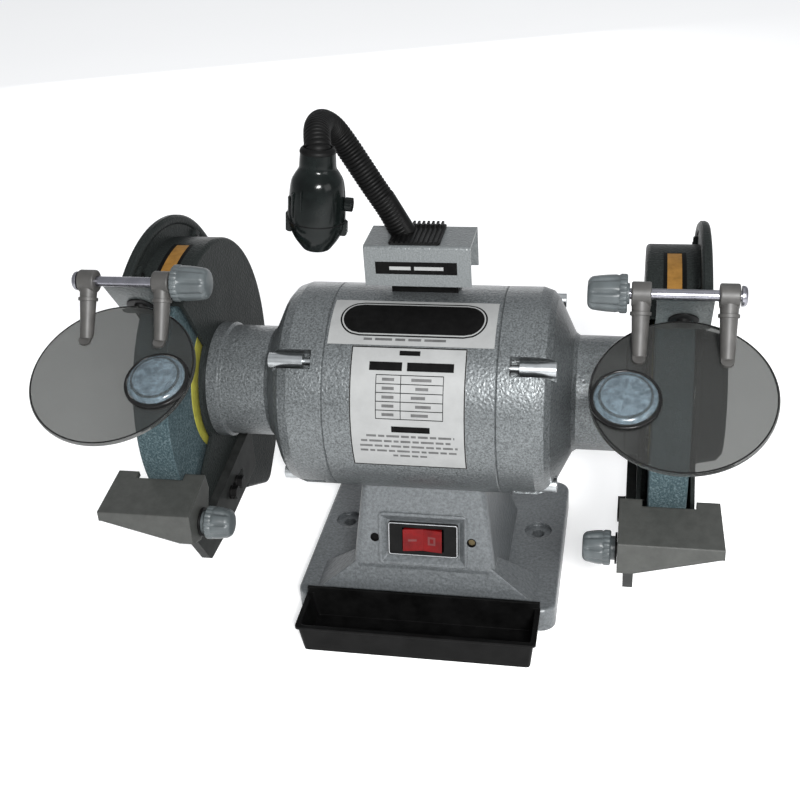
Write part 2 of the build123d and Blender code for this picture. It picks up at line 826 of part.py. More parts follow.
def make_run_capacitor():
    with BuildPart() as capacitor:
        with BuildSketch(Plane.XY.offset(2)):
            with Locations((-24, 24)):
                Circle(17)
        extrude(amount=62)
        fillet(capacitor.edges().filter_by(GeomType.CIRCLE), 2)
    return capacitor.part


def make_terminal_block():
    with BuildPart() as block:
        with BuildSketch(Plane.XY.offset(2)):
            with Locations((24, 22)):
                Rectangle(36, 16)
        extrude(amount=16)
        with BuildSketch(Plane.XY.offset(18)):
            with Locations((24, 22)):
                with GridLocations(11, 1, 3, 1):
                    Circle(3)
        extrude(amount=-6, mode=Mode.SUBTRACT)
    return block.part


def make_cable_gland():
    """Gland for the supply lead at the back of the pedestal."""
    back = gland_plane()
    with BuildPart() as gland:
        with BuildSketch(back):
            RegularPolygon(11, 6, major_radius=False)
        extrude(amount=6)
        with BuildSketch(back.offset(6)):
            Circle(10)
        extrude(amount=10, taper=12)
        with BuildSketch(back):
            Circle(7.9)
        extrude(amount=-14)
        with BuildSketch(back.offset(-15)):
            Circle(4)
        extrude(amount=40, mode=Mode.SUBTRACT)
    return gland.part


# ---- water tray ----
def make_water_tray():
    """Open coolant tray that stands in front of the base and lifts away."""
    with BuildPart() as tray:
        add(box_section(0, 86, -103, TRAY_BACK, 3))
        add(box_section(24, 89, -105, TRAY_BACK, 3))
        loft()
        with BuildSketch(Plane.XY.offset(2.2)):
            with Locations((0, (-100.6 + TRAY_BACK - 2.4) / 2)):
                RectangleRounded(167, TRAY_BACK - 2.4 + 100.6, 2)
        with BuildSketch(Plane.XY.offset(25)):
            with Locations((0, (-102.6 + TRAY_BACK - 2.4) / 2)):
                RectangleRounded(173.2, TRAY_BACK - 2.4 + 102.6, 2)
        loft(mode=Mode.SUBTRACT)
        with BuildSketch(Plane.XY.offset(22)):
            with Locations((0, (-106 + TRAY_BACK) / 2)):
                RectangleRounded(181, TRAY_BACK + 106, 3)
            with Locations((0, (-102.6 + TRAY_BACK - 2.4) / 2)):
                RectangleRounded(173.2, TRAY_BACK - 2.4 + 102.6, 2, mode=Mode.SUBTRACT)
        extrude(amount=2)
        with BuildSketch(Plane.XY.offset(24)):
            with Locations((0, TRAY_BACK - 1.2)):
                Rectangle(180, 2.4)
        extrude(amount=5)
    return tray.part


# ---- plates on the motor ----
def curved_plate(half_x, start, stop, thickness):
    """Thin plate bent round the motor between two angles above the front horizontal."""
    with BuildPart() as plate:
        with BuildSketch(side_plane(-half_x)):
            Circle(MOTOR_R + thickness)
            Circle(MOTOR_R, mode=Mode.SUBTRACT)
            with BuildLine():
                Polyline((0, 0), polar(120, 180 - start), polar(120, 180 - (start + stop) / 2),
                         polar(120, 180 - stop), close=True)
            make_face(mode=Mode.INTERSECT)
        extrude(amount=2 * half_x)
    return plate.part


# ---- dresser holder on top of the motor ----
HOLDER_X0 = -35.4
HOLDER_X1 = 39.6
HOLDER_TOP = 119.2


def make_dresser_holder():
    """Sheet channel, open at both ends, for the wheel dresser."""
    with BuildPart() as holder:
        with BuildSketch(side_plane(HOLDER_X0)):
            with BuildLine():
                Polyline((-16.2, 89.4), (-16.2, HOLDER_TOP), (23, HOLDER_TOP), (23, 89.6),
                         (21, 89.6), (21, HOLDER_TOP - 2), (-14.2, HOLDER_TOP - 2),
                         (-14.2, 89.4), close=True)
            make_face()
        extrude(amount=HOLDER_X1 - HOLDER_X0)
        fillet(holder.edges().filter_by(Axis.X).filter_by(
            lambda e: abs(e.center().Z - SHAFT_Z - HOLDER_TOP) < 0.1), 2.5)
        with BuildSketch(Plane.XY.offset(SHAFT_Z + HOLDER_TOP + 1)):
            with Locations((1, 8)):
                Circle(6.2)
        extrude(amount=-5, mode=Mode.SUBTRACT)
    return holder.part


def make_holder_spacer():
    """Block that lifts the channel off the motor."""
    with BuildPart() as block:
        with BuildSketch(side_plane(-21)):
            with BuildLine():
                Polyline((3, 70), (20.8, 70), (20.8, HOLDER_TOP - 2), (3, HOLDER_TOP - 2),
                         close=True)
            make_face()
            Circle(MOTOR_R, mode=Mode.SUBTRACT)
        extrude(amount=48)
        with BuildSketch(Plane.XY.offset(SHAFT_Z + HOLDER_TOP)):
            with Locations((1, 8)):
                Circle(6.2)
        extrude(amount=-14, mode=Mode.SUBTRACT)
    return block.part


# ---- lamp ----
TUBE_R = 7.9
RIB_PITCH = 3.4
RIB_COUNT = 10
LAMP_ROOT = Vector(-13.5, 9, SHAFT_Z + 126)
LAMP_J1 = Vector(-28, 9, SHAFT_Z + 153)
LAMP_J2 = Vector(-46, 8, SHAFT_Z + 183)
LAMP_NECK = Vector(-52.4, -46.2, SHAFT_Z + 193)
LAMP_AXIS = Vector(6.5, 4, 67).normalized()
CREST_RISE = 16.0        # middle line of the bend above the neck


def towards(start, stop):
    """Plane at start whose normal points at stop."""
    return Plane(origin=start, z_dir=stop - start)


def make_lamp_base():
    """Ribbed foot with a leaning sleeve and a stud that holds the flexible arm on the channel."""
    lean = towards(LAMP_ROOT, LAMP_J1)
    with BuildPart() as nut:
        with BuildSketch(Plane.XY.offset(SHAFT_Z + HOLDER_TOP)):
            with Locations((0, 4.4)):
                RectangleRounded(36, 35.6, 2)
        extrude(amount=1.4)
        with BuildSketch(Plane.XY.offset(SHAFT_Z + HOLDER_TOP)):
            with Locations((0, 4.4)):
                with GridLocations(RIB_PITCH, 1, RIB_COUNT, 1):
                    Rectangle(1.7, 35)
        extrude(amount=2.4)
        with BuildSketch(Plane.XY.offset(SHAFT_Z + HOLDER_TOP)):
            with Locations((0, 18)):
                with GridLocations(RIB_PITCH, 1, RIB_COUNT, 1):
                    Rectangle(1.7, 7.8)
        extrude(amount=3.8)
        with BuildSketch(lean.offset(-9)):
            Circle(TUBE_R)
        extrude(amount=15)
        with BuildSketch(Plane.XY.offset(SHAFT_Z + HOLDER_TOP)):
            Rectangle(120, 80)
        extrude(amount=-20, mode=Mode.SUBTRACT)
        with BuildSketch(Plane.XY.offset(SHAFT_Z + HOLDER_TOP)):
            with Locations((1, 8)):
                Circle(6)
        extrude(amount=-12)
        with BuildSketch(lean):
            Circle(TUBE_R)
        extrude(amount=(LAMP_J1 - LAMP_ROOT).length - 9)
        with BuildSketch(lean):
            Circle(4)
        extrude(amount=(LAMP_J1 - LAMP_ROOT).length)
        with Locations(LAMP_J1):
            Sphere(5.5)
    return nut.part


def socket_cut(centre, away):
    """Ball seat with a flared mouth that faces the link below."""
    mouth = Plane(origin=centre, z_dir=away)
    with BuildPart() as seat:
        with Locations(centre):
            Sphere(5.8)
        with BuildSketch(mouth):
            Circle(5.2)
        with BuildSketch(mouth.offset(-6)):
            Circle(8.0)
        loft()
    return seat.part


def make_gooseneck_middle():
    """Middle length of the flexible arm between two ball joints."""
    run = LAMP_J2 - LAMP_J1
    along = towards(LAMP_J1, LAMP_J2)
    seat = socket_cut(LAMP_J1, run)
    with BuildPart() as link:
        with BuildSketch(along.offset(-2.5)):
            Circle(TUBE_R)
        extrude(amount=run.length - 6.5)
        with BuildSketch(along):
            Circle(4)
        extrude(amount=run.length)
        with Locations(LAMP_J2):
            Sphere(5.5)
        add(seat, mode=Mode.SUBTRACT)
    return link.part


def make_gooseneck_upper():
    """Upper length of the flexible arm, bent over towards the user."""
    lead = (LAMP_J2 - LAMP_J1).normalized()
    start = LAMP_J2 - lead * 2.5
    crest = (LAMP_J2 + lead * 24, LAMP_NECK + LAMP_AXIS * CREST_RISE)
    seat = socket_cut(LAMP_J2, lead)
    with BuildPart() as link:
        with BuildLine() as path:
            FilletPolyline(start, crest[0], crest[1], LAMP_NECK, radius=11.5)
        with BuildSketch(Plane(origin=start, z_dir=lead)):
            Circle(TUBE_R)
        sweep(path=path.wires()[0])
        add(seat, mode=Mode.SUBTRACT)
    return link.part


def lamp_turned(points):
    """Solid of revolution about the lamp's axis from (radius, height above the neck) points."""
    side = LAMP_AXIS.cross(Vector(0, 1, 0)).normalized()
    plane = Plane(origin=LAMP_NECK, x_dir=-side, z_dir=-side.cross(LAMP_AXIS))
    with BuildPart() as body:
        with BuildSketch(plane):
            with BuildLine():
                Polyline(points, close=True)
            make_face()
        revolve(axis=Axis(LAMP_NECK, LAMP_AXIS))
    return body.part


def lamp_plane(height):
    """Plane across the lamp's axis at a height above the neck."""
    return Plane(origin=LAMP_NECK, x_dir=(1, 0, 0), z_dir=LAMP_AXIS).offset(height)


def lamp_side_plane(height, reach):
    """Plane on the lamp's right-hand side, facing outwards."""
    across = lamp_plane(height)
    return Plane(origin=across.origin + across.x_dir * reach, z_dir=across.x_dir)


def make_lamp_head():
    """Moulded lamp head: neck sleeve, shoulder, body with vents and the tapering front."""
    outer = [(10.2, 6.5), (11.4, 6.5), (11.9, -6), (15, -10), (17.4, -15), (18.4, -24),
             (18.8, -42), (18.2, -47), (14.6, -54.5), (11.5, -59), (9.5, -61.5), (8, -61.5)]
    inner = [(8, -58.5), (10, -57), (13, -53), (16, -46), (16.6, -42), (16.4, -24),
             (15.2, -16), (12.6, -11), (9.9, -9)]
    vent_x = 6
    with BuildPart() as head:
        add(lamp_turned(outer + inner))
        with BuildSketch(lamp_plane(-36)):
            with PolarLocations(18, 4, start_angle=38):
                with GridLocations(1, vent_x, 1, 2):
                    Rectangle(6, 2.2)
        extrude(amount=15, mode=Mode.SUBTRACT)
        for turn in (0, 180):
            with BuildSketch(lamp_plane(-46)):
                with PolarLocations(18.6, 1, start_angle=turn):
                    Rectangle(4, 9)
            extrude(amount=10)
        with BuildSketch(lamp_side_plane(-29, 12)):
            Circle(2.6)
        extrude(amount=10, mode=Mode.SUBTRACT)
    return head.part


def make_lamp_socket():
    return lamp_turned([(0, -1), (9.9, -1), (9.9, -9), (11.4, -12.6), (11.4, -27), (0, -27)])


def make_lamp_bulb():
    return lamp_turned([(0, -27), (6.5, -27), (7, -34), (11.5, -44), (12, -49), (10, -53),
                        (0, -54)])


def make_lamp_switch_knob():
    side = lamp_side_plane(-29, 18.9)
    with BuildPart() as knob:
        with BuildSketch(side):
            Circle(4.6)
            with PolarLocations(5, 10):
                Circle(0.7, mode=Mode.SUBTRACT)
        extrude(amount=4.6)
        with BuildSketch(side):
            Circle(2.5)
        extrude(amount=-4)
    return knob.part


# ---- write every piece ----
save(make_stator_housing(), "stator_housing")
save_pair(make_end_bell(), "end_bell")
save(make_stator_core(), "stator_core")
save(make_stator_windings(), "stator_windings")
save(make_rotor_core(), "rotor_core")
save(make_motor_shaft(), "motor_shaft")
save(make_through_bolts(), "through_bolts")
save(make_bearing_outer_rings(), "bearing_outer_rings")
save(make_bearing_inner_rings(), "bearing_inner_rings")
save(make_bearing_balls(), "bearing_balls")
save_pair(make_grinding_wheel(), "grinding_wheel")
save(make_wheel_flanges(), "wheel_flanges")
save(make_wheel_blotters(), "wheel_blotters")
save(make_wheel_nuts(), "wheel_nuts")
save_pair(make_wheel_guard(), "wheel_guard")
save_pair(make_guard_cover(), "guard_cover")
save(make_guard_cover_screws(), "guard_cover_screws")
save(make_guard_mount_screws(), "guard_mount_screws")
save_pair(make_spark_arrestor(), "spark_arrestor")
save(make_arrestor_screws(), "arrestor_screws")
save_pair(make_shield_rod(), "shield_rod")
save_pair(make_shield_clips(), "shield_clips")
save_pair(make_shield_lens(), "shield_lens")
save_pair(make_shield_knob(), "shield_knob")
save_pair(make_rest_table(), "rest_table")
save_pair(make_rest_arm(), "rest_arm")
save(make_rest_arm_bolts(), "rest_arm_bolts")
save_pair(make_rest_knob(), "rest_knob")
save(make_base_casting(), "base_casting")
save(make_base_bottom_plate(), "base_bottom_plate")
save(make_switch_body(), "switch_body")
save(make_switch_rocker(), "switch_rocker")
save(make_panel_screws(), "panel_screws")
save(make_run_capacitor(), "run_capacitor")
save(make_terminal_block(), "terminal_block")
save(make_cable_gland(), "cable_gland")
save(make_water_tray(), "water_tray")
save(curved_plate(58.5, 51, 81, 0.5), "name_plate")
save(curved_plate(40.5, -18, 50.3, 0.5), "rating_plate")
save(make_dresser_holder(), "dresser_holder")
save(make_holder_spacer(), "holder_spacer")
save(make_lamp_base(), "lamp_base")
save(make_gooseneck_middle(), "gooseneck_middle")
save(make_gooseneck_upper(), "gooseneck_upper")
save(make_lamp_head(), "lamp_head")
save(make_lamp_socket(), "lamp_socket")
save(make_lamp_bulb(), "lamp_bulb")
save(make_lamp_switch_knob(), "lamp_switch_knob")
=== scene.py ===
from math import atan2, cos, pi, radians, sin, sqrt

import bmesh
import bpy
from mathutils import Matrix, Vector


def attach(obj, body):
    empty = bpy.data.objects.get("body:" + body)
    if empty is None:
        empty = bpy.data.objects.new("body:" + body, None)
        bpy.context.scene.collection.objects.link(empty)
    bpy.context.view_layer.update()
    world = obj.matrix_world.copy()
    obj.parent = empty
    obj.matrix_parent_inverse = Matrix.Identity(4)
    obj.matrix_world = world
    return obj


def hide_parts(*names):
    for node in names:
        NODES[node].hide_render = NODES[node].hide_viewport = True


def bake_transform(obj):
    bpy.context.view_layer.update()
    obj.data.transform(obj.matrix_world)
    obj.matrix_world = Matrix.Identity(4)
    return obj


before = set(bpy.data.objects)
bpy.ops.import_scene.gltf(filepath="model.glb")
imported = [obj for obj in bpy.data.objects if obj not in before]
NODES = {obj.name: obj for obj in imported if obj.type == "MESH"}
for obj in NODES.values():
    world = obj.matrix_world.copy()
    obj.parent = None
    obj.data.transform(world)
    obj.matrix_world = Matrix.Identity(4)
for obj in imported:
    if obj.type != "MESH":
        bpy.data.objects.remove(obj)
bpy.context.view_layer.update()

MM = 0.001
SHAFT_Z = 176.0
MOTOR_R = 76.0
GUARD_R = 108
SIDES = (("left", -1), ("right", 1))


# ---------------------------------------------------------------- materials
class Shader:
    """Small builder for a procedural Principled material in frame coordinates (millimetres)."""

    def __init__(self, name):
        self.mat = bpy.data.materials.new(name)
        self.mat.use_nodes = True
        self.nodes = self.mat.node_tree.nodes
        self.links = self.mat.node_tree.links
        self.bsdf = self.nodes["Principled BSDF"]
        coords = self.nodes.new("ShaderNodeTexCoord")
        scale = self.nodes.new("ShaderNodeMapping")
        scale.inputs["Scale"].default_value = (1000, 1000, 1000)
        self.links.new(coords.outputs["Object"], scale.inputs["Vector"])
        self.space = scale.outputs["Vector"]
        self.normal = None

    def noise(self, size, detail=3.0, rough=0.55, stretch=None):
        tex = self.nodes.new("ShaderNodeTexNoise")
        tex.inputs["Scale"].default_value = 1.0 / size
        tex.inputs["Detail"].default_value = detail
        tex.inputs["Roughness"].default_value = rough
        space = self.space
        if stretch:
            squeeze = self.nodes.new("ShaderNodeMapping")
            squeeze.inputs["Scale"].default_value = stretch
            self.links.new(space, squeeze.inputs["Vector"])
            space = squeeze.outputs["Vector"]
        self.links.new(space, tex.inputs["Vector"])
        return tex.outputs["Fac"]

    def cells(self, size, feature="SMOOTH_F1"):
        tex = self.nodes.new("ShaderNodeTexVoronoi")
        tex.feature = feature
        tex.inputs["Scale"].default_value = 1.0 / size
        if feature == "SMOOTH_F1":
            tex.inputs["Smoothness"].default_value = 0.6
        warp = self.nodes.new("ShaderNodeVectorMath")
        warp.operation = "ADD"
        wobble = self.nodes.new("ShaderNodeTexNoise")
        wobble.inputs["Scale"].default_value = 0.6 / size
        self.links.new(self.space, wobble.inputs["Vector"])
        grow = self.nodes.new("ShaderNodeVectorMath")
        grow.operation = "SCALE"
        grow.inputs["Scale"].default_value = size * 1.6
        self.links.new(wobble.outputs["Color"], grow.inputs[0])
        self.links.new(self.space, warp.inputs[0])
        self.links.new(grow.outputs["Vector"], warp.inputs[1])
        self.links.new(warp.outputs["Vector"], tex.inputs["Vector"])
        return tex.outputs["Distance"]

    def ramp(self, fac, stops):
        node = self.nodes.new("ShaderNodeValToRGB")
        node.color_ramp.elements[0].position = stops[0][0]
        node.color_ramp.elements[1].position = stops[-1][0]
        for position, _ in stops[1:-1]:
            node.color_ramp.elements.new(position)
        for element, (_, colour) in zip(node.color_ramp.elements, stops):
            element.color = (*colour, 1.0)
        self.links.new(fac, node.inputs["Fac"])
        return node.outputs["Color"]

    def colour(self, output):
        self.links.new(output, self.bsdf.inputs["Base Color"])

    def spread(self, fac, low, high, socket="Roughness"):
        node = self.nodes.new("ShaderNodeMapRange")
        node.inputs["To Min"].default_value = low
        node.inputs["To Max"].default_value = high
        self.links.new(fac, node.inputs["Value"])
        self.links.new(node.outputs["Result"], self.bsdf.inputs[socket])

    def bump(self, fac, strength, depth_mm, invert=False):
        node = self.nodes.new("ShaderNodeBump")
        node.inputs["Strength"].default_value = strength
        node.inputs["Distance"].default_value = depth_mm * MM
        node.invert = invert
        self.links.new(fac, node.inputs["Height"])
        if self.normal is not None:
            self.links.new(self.normal, node.inputs["Normal"])
        self.normal = node.outputs["Normal"]
        self.links.new(self.normal, self.bsdf.inputs["Normal"])

    def soft_edges(self, radius_mm):
        node = self.nodes.new("ShaderNodeBevel")
        node.samples = 4
        node.inputs["Radius"].default_value = radius_mm * MM
        self.normal = node.outputs["Normal"]
        self.links.new(self.normal, self.bsdf.inputs["Normal"])

    def set(self, **values):
        for key, value in values.items():
            self.bsdf.inputs[key.replace("_", " ")].default_value = value


def grey(value, tint=(1.0, 1.0, 1.0)):
    return tuple(value * t for t in tint)


def greys(dark, light, tint=(1.0, 1.0, 1.0)):
    """The two ends of one tinted grey."""
    return grey(dark, tint), grey(light, tint)


def hammered(name, dark, light, dimple=3.0, metal=0.45, edges=0.8):
    s = Shader(name)
    if edges:
        s.soft_edges(edges)
    cells = s.cells(dimple)
    broad = s.noise(26, 4, 0.6)
    s.colour(s.ramp(s.noise(dimple * 0.6, 5, 0.75), [(0.36, dark), (0.62, light)]))
    s.set(Metallic=metal)
    s.spread(broad, 0.28, 0.46)
    s.bump(cells, 0.7, 0.35)
    s.bump(s.noise(0.9, 3), 0.12, 0.1)
    return s.mat


def painted(name, dark, light, rough=(0.35, 0.55), grain=1.6, metal=0.1, edges=0.5):
    s = Shader(name)
    if edges:
        s.soft_edges(edges)
    s.colour(s.ramp(s.noise(grain * 6, 5, 0.65), [(0.3, dark), (0.7, light)]))
    s.set(Metallic=metal)
    s.spread(s.noise(18, 4), rough[0], rough[1])
    s.bump(s.noise(grain, 4, 0.6), 0.3, 0.12)
    return s.mat


def metal(name, colour, rough=(0.16, 0.32), brushed=None, edges=0.3):
    s = Shader(name)
    if edges:
        s.soft_edges(edges)
    dark = tuple(c * 0.72 for c in colour)
    s.colour(s.ramp(s.noise(9, 5, 0.6), [(0.25, dark), (0.7, colour)]))
    s.set(Metallic=1.0)
    s.spread(s.noise(5, 4, 0.6, brushed), rough[0], rough[1])
    s.bump(s.noise(0.8, 3, 0.5, brushed), 0.08, 0.05)
    return s.mat


def plastic(name, dark, light, rough=(0.3, 0.45), grain=0.8, coat=0.0, edges=0.4, through=0.0):
    s = Shader(name)
    if edges:
        s.soft_edges(edges)
    s.colour(s.ramp(s.noise(12, 4, 0.6), [(0.3, dark), (0.7, light)]))
    s.spread(s.noise(8, 4), rough[0], rough[1])
    s.bump(s.noise(grain, 3), 0.1, 0.06)
    s.set(Coat_Weight=coat)
    if through:
        s.set(Transmission_Weight=through)
    return s.mat


def clear(name, tint, rough=(0.0, 0.03), ior=1.35, weight=1.0):
    s = Shader(name)
    s.colour(s.ramp(s.noise(20, 3), [(0.3, tuple(c * 0.97 for c in tint)), (0.7, tint)]))
    s.spread(s.noise(7, 5, 0.7), rough[0], rough[1])
    s.set(Transmission_Weight=weight, IOR=ior)
    s.bump(s.noise(30, 2), 0.04, 0.2)
    return s.mat


def painted_reflection_glass(name, dark, light):
    """Half clear magnifier moulding whose mottled colour is a painted reflection."""
    s = Shader(name)
    s.colour(s.ramp(s.noise(4.5, 6, 0.75), [(0.4, dark), (0.6, light)]))
    s.spread(s.noise(3, 5, 0.7), 0.08, 0.3)
    s.set(Transmission_Weight=0.62, IOR=1.3)
    s.bump(s.noise(6, 5, 0.7), 0.25, 0.3)
    return s.mat


def abrasive():
    s = Shader("abrasive_grain")
    s.colour(s.ramp(s.noise(1.3, 5, 0.8), [(0.36, (0.01, 0.021, 0.025)), (0.5, (0.022, 0.038, 0.043)),
                                           (0.64, (0.075, 0.1, 0.108))]))
    s.set(Roughness=0.92)
    s.bump(s.cells(1.1), 0.7, 0.4)
    s.bump(s.noise(5, 4), 0.3, 0.4)
    return s.mat


PAINT = hammered("hammered_paint", *greys(0.04, 0.142, (0.92, 1.0, 1.03)), dimple=2.2, metal=0.47,
                 edges=0.5)
CAST_PAINT = hammered("hammered_paint_cast", *greys(0.06, 0.11, (0.92, 1, 1.05)), dimple=3.4,
                      metal=0.25, edges=1.2)
HOLDER_PAINT = hammered("holder_paint", *greys(0.075, 0.12, (0.92, 1, 1.02)), dimple=1.8, metal=0.15,
                        edges=0.5)
GUARD = hammered("guard_paint", *greys(0.008, 0.018, (0.93, 1.08, 1.05)), dimple=1.8, metal=0.0)
PLATE_PAINT = hammered("arrestor_paint", *greys(0.042, 0.075, (0.93, 1.05, 1.05)), dimple=1.8,
                       metal=0.2, edges=0.5)
ARM = painted("arm_paint", *greys(0.01, 0.02, (0.97, 1.03, 1.0)), rough=(0.3, 0.45), metal=0.0,
              edges=0.8)
REST = painted("rest_metal", *greys(0.03, 0.042, (0.98, 1.02, 0.95)), rough=(0.36, 0.46), grain=1.2,
               metal=0.15, edges=1.6)
ZINC = metal("zinc", (0.4, 0.41, 0.42), rough=(0.2, 0.38))
ROD = metal("rod_chrome", (0.26, 0.26, 0.29), rough=(0.22, 0.36))
STEEL = metal("bright_steel", (0.5, 0.5, 0.5))
BRASSY = metal("brassy_screw", (0.1, 0.08, 0.045), rough=(0.3, 0.45))
BOLT_BAR = metal("bolt_bar", (0.42, 0.44, 0.45), rough=(0.3, 0.42), edges=0.5)
BLACK_STEEL = painted("black_oxide", *greys(0.002, 0.006), rough=(0.3, 0.5), grain=1.0, metal=0.2,
                      edges=0.3)
LAMINATION = metal("lamination", (0.35, 0.35, 0.36), rough=(0.35, 0.5), brushed=(60, 1, 1))
COPPER = metal("copper_wire", (0.55, 0.25, 0.12), rough=(0.3, 0.45), brushed=(1, 8, 8))
CAN = metal("capacitor_can", (0.5, 0.5, 0.52), rough=(0.25, 0.4))
ABRASIVE = abrasive()
PAPER = painted("blotter_paper", (0.14, 0.13, 0.015), (0.26, 0.25, 0.03), rough=(0.6, 0.8), grain=2.0,
                metal=0.0, edges=0.0)
LENS = clear("lens_tinted", (0.153, 0.156, 0.152), ior=1.12, weight=0.915)
LENS_EDGE = plastic("lens_edge", *greys(0.003, 0.008), rough=(0.15, 0.3), edges=0.0)
# the magnifier dome's mottled colour is a painted reflection
MAGNIFIER_REFLECTION = painted_reflection_glass("magnifier_painted_reflection", (0.1, 0.13, 0.15), (0.2, 0.26, 0.3))
CLIP = plastic("clip_plastic", *greys(0.035, 0.06, (1, 0.97, 0.92)), rough=(0.42, 0.55), edges=0.5,
               through=0.25)
KNOB = plastic("knob_plastic", *greys(0.04, 0.06, (0.9, 1.05, 1.1)), rough=(0.34, 0.46), grain=0.6,
               edges=0.5)
BLACK = plastic("black_plastic", *greys(0.002, 0.005), rough=(0.25, 0.4))
TRAY = plastic("tray_plastic", *greys(0.0015, 0.004), grain=1.2, edges=0.9)
LAMP = plastic("lamp_plastic", *greys(0.002, 0.005, (0.8, 1.1, 1.05)), rough=(0.14, 0.2), grain=2.0,
               edges=0.6)
TUBE = plastic("gooseneck_rubber", *greys(0.0015, 0.004), rough=(0.4, 0.55), grain=0.6, edges=0.0)
RED = plastic("red_key", (0.06, 0.001, 0.0015), (0.12, 0.0015, 0.002), rough=(0.3, 0.4), grain=0.6,
              edges=0.6)
PLATE = painted("white_plate", *greys(0.175, 0.2, (0.98, 1, 0.99)), rough=(0.4, 0.5), grain=2.0,
                metal=0.0, edges=0.0)
INK = painted("black_ink", *greys(0.002, 0.004), rough=(0.45, 0.6), grain=1.0, metal=0.0, edges=0.0)
INK_SOFT = painted("grey_ink", *greys(0.03, 0.06), rough=(0.4, 0.6), grain=1.0, metal=0.0, edges=0.0)
ORANGE = painted("orange_print", (0.12, 0.06, 0.012), (0.2, 0.1, 0.022), rough=(0.4, 0.6), grain=1.2,
                 metal=0.0, edges=0.0)
CERAMIC = plastic("socket_ceramic", *greys(0.4, 0.5), rough=(0.2, 0.35))
BULB = clear("bulb_glass", (0.98, 0.98, 0.95), rough=(0.1, 0.3), ior=1.3)
RED_DARK = painted("red_mark", (0.05, 0.003, 0.003), (0.09, 0.006, 0.006), rough=(0.3, 0.5), grain=1.0,
                   metal=0.0, edges=0.0)

# how strongly each dull material mirrors the lights
SHINE = {
    BLACK_STEEL: 0.1, BLACK: 0.08, TRAY: 0.06, TUBE: 0.08, INK: 0.03, LENS_EDGE: 0.15, GUARD: 0.02,
    ARM: 0.03, LAMP: 0.15, CLIP: 0.3, KNOB: 0.35, RED: 0.15, REST: 0.3, ABRASIVE: 0.2, ORANGE: 0.1,
}
for dull, shine in SHINE.items():
    dull.node_tree.nodes["Principled BSDF"].inputs["Specular IOR Level"].default_value = shine

LOOKS = {
    PAINT: ["stator_housing", "left_end_bell", "right_end_bell"],
    CAST_PAINT: ["base_casting"],
    HOLDER_PAINT: ["dresser_holder"],
    PLATE_PAINT: ["left_spark_arrestor", "right_spark_arrestor"],
    GUARD: ["left_wheel_guard", "right_wheel_guard", "left_guard_cover", "right_guard_cover"],
    ARM: ["left_rest_arm", "right_rest_arm"],
    REST: ["left_rest_table", "right_rest_table"],
    ZINC: ["base_bottom_plate", "wheel_flanges", "wheel_nuts"],
    BOLT_BAR: ["through_bolts"],
    BLACK_STEEL: ["holder_spacer", "guard_cover_screws", "guard_mount_screws", "rest_arm_bolts",
                  "arrestor_screws"],
    BRASSY: ["panel_screws"],
    STEEL: ["motor_shaft", "bearing_outer_rings", "bearing_inner_rings", "bearing_balls"],
    LAMINATION: ["stator_core", "rotor_core"],
    COPPER: ["stator_windings"],
    ABRASIVE: ["left_grinding_wheel", "right_grinding_wheel"],
    PAPER: ["wheel_blotters"],
    ROD: ["left_shield_rod", "right_shield_rod"],
    CLIP: ["left_shield_clips", "right_shield_clips"],
    LENS: ["left_shield_lens", "right_shield_lens"],
    KNOB: ["left_shield_knob", "right_shield_knob", "left_rest_knob", "right_rest_knob"],
    BLACK: ["switch_body", "cable_gland", "terminal_block", "lamp_base", "gooseneck_middle",
            "gooseneck_upper"],
    TRAY: ["water_tray"],
    LAMP: ["lamp_head", "lamp_switch_knob"],
    RED: ["switch_rocker"],
    PLATE: ["name_plate", "rating_plate"],
    CAN: ["run_capacitor"],
    CERAMIC: ["lamp_socket"],
    BULB: ["lamp_bulb"],
}
for material, names in LOOKS.items():
    for node_name in names:
        node = NODES[node_name]
        node.data.materials.clear()
        node.data.materials.append(material)
for lens in LOOKS[LENS]:
    NODES[lens].visible_shadow = False  # a thin window lets the light through to the wheel


# ---------------------------------------------------------------- mesh helpers
def make_object(name, verts, faces, material, body, smooth=True, angle=35):
    """Mesh from millimetre vertices, riding on a CAD body."""
    mesh = bpy.data.meshes.new(name)
    mesh.from_pydata([tuple(c * MM for c in v) for v in verts], [], faces)
    mesh.validate()
    bm = bmesh.new()
    bm.from_mesh(mesh)
    bmesh.ops.recalc_face_normals(bm, faces=bm.faces)
    bm.to_mesh(mesh)
    bm.free()
    mesh.materials.append(material)
    if smooth:
        mesh.shade_smooth()
        mesh.set_sharp_from_angle(angle=radians(angle))
    piece = bpy.data.objects.new(name, mesh)
    bpy.context.scene.collection.objects.link(piece)
    if body:
        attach(piece, body)
    return piece


def frame_of(axis, hint=(0, 0, 1)):
    """Three perpendicular directions, the last along axis."""
    w = Vector(axis).normalized()
    u = Vector(hint).cross(w)
    if u.length < 1e-6:
        u = Vector((1, 0, 0)).cross(w)
    u.normalize()
    return u, w.cross(u), w


def lathe(name, origin, axis, profile, material, body, around=64, closed=True, shape=None):
    """Turned piece from (radius, height) points; shape(angle, radius, height) may change a radius."""
    u, v, w = frame_of(axis, (0, 1, 0.3))
    base = Vector(origin)
    verts = []
    for radius, height in profile:
        for k in range(around):
            a = 2 * pi * k / around
            r = shape(a, radius, height) if shape else radius
            verts.append(base + u * (r * cos(a)) + v * (r * sin(a)) + w * height)
    rows = len(profile)
    faces = []
    for i in range(rows if closed else rows - 1):
        j = (i + 1) % rows
        for k in range(around):
            n = (k + 1) % around
            faces.append((i * around + k, i * around + n, j * around + n, j * around + k))
    if not closed:
        faces.append(tuple(range(around)))
        faces.append(tuple((rows - 1) * around + k for k in range(around)))
    return make_object(name, verts, faces, material, body)


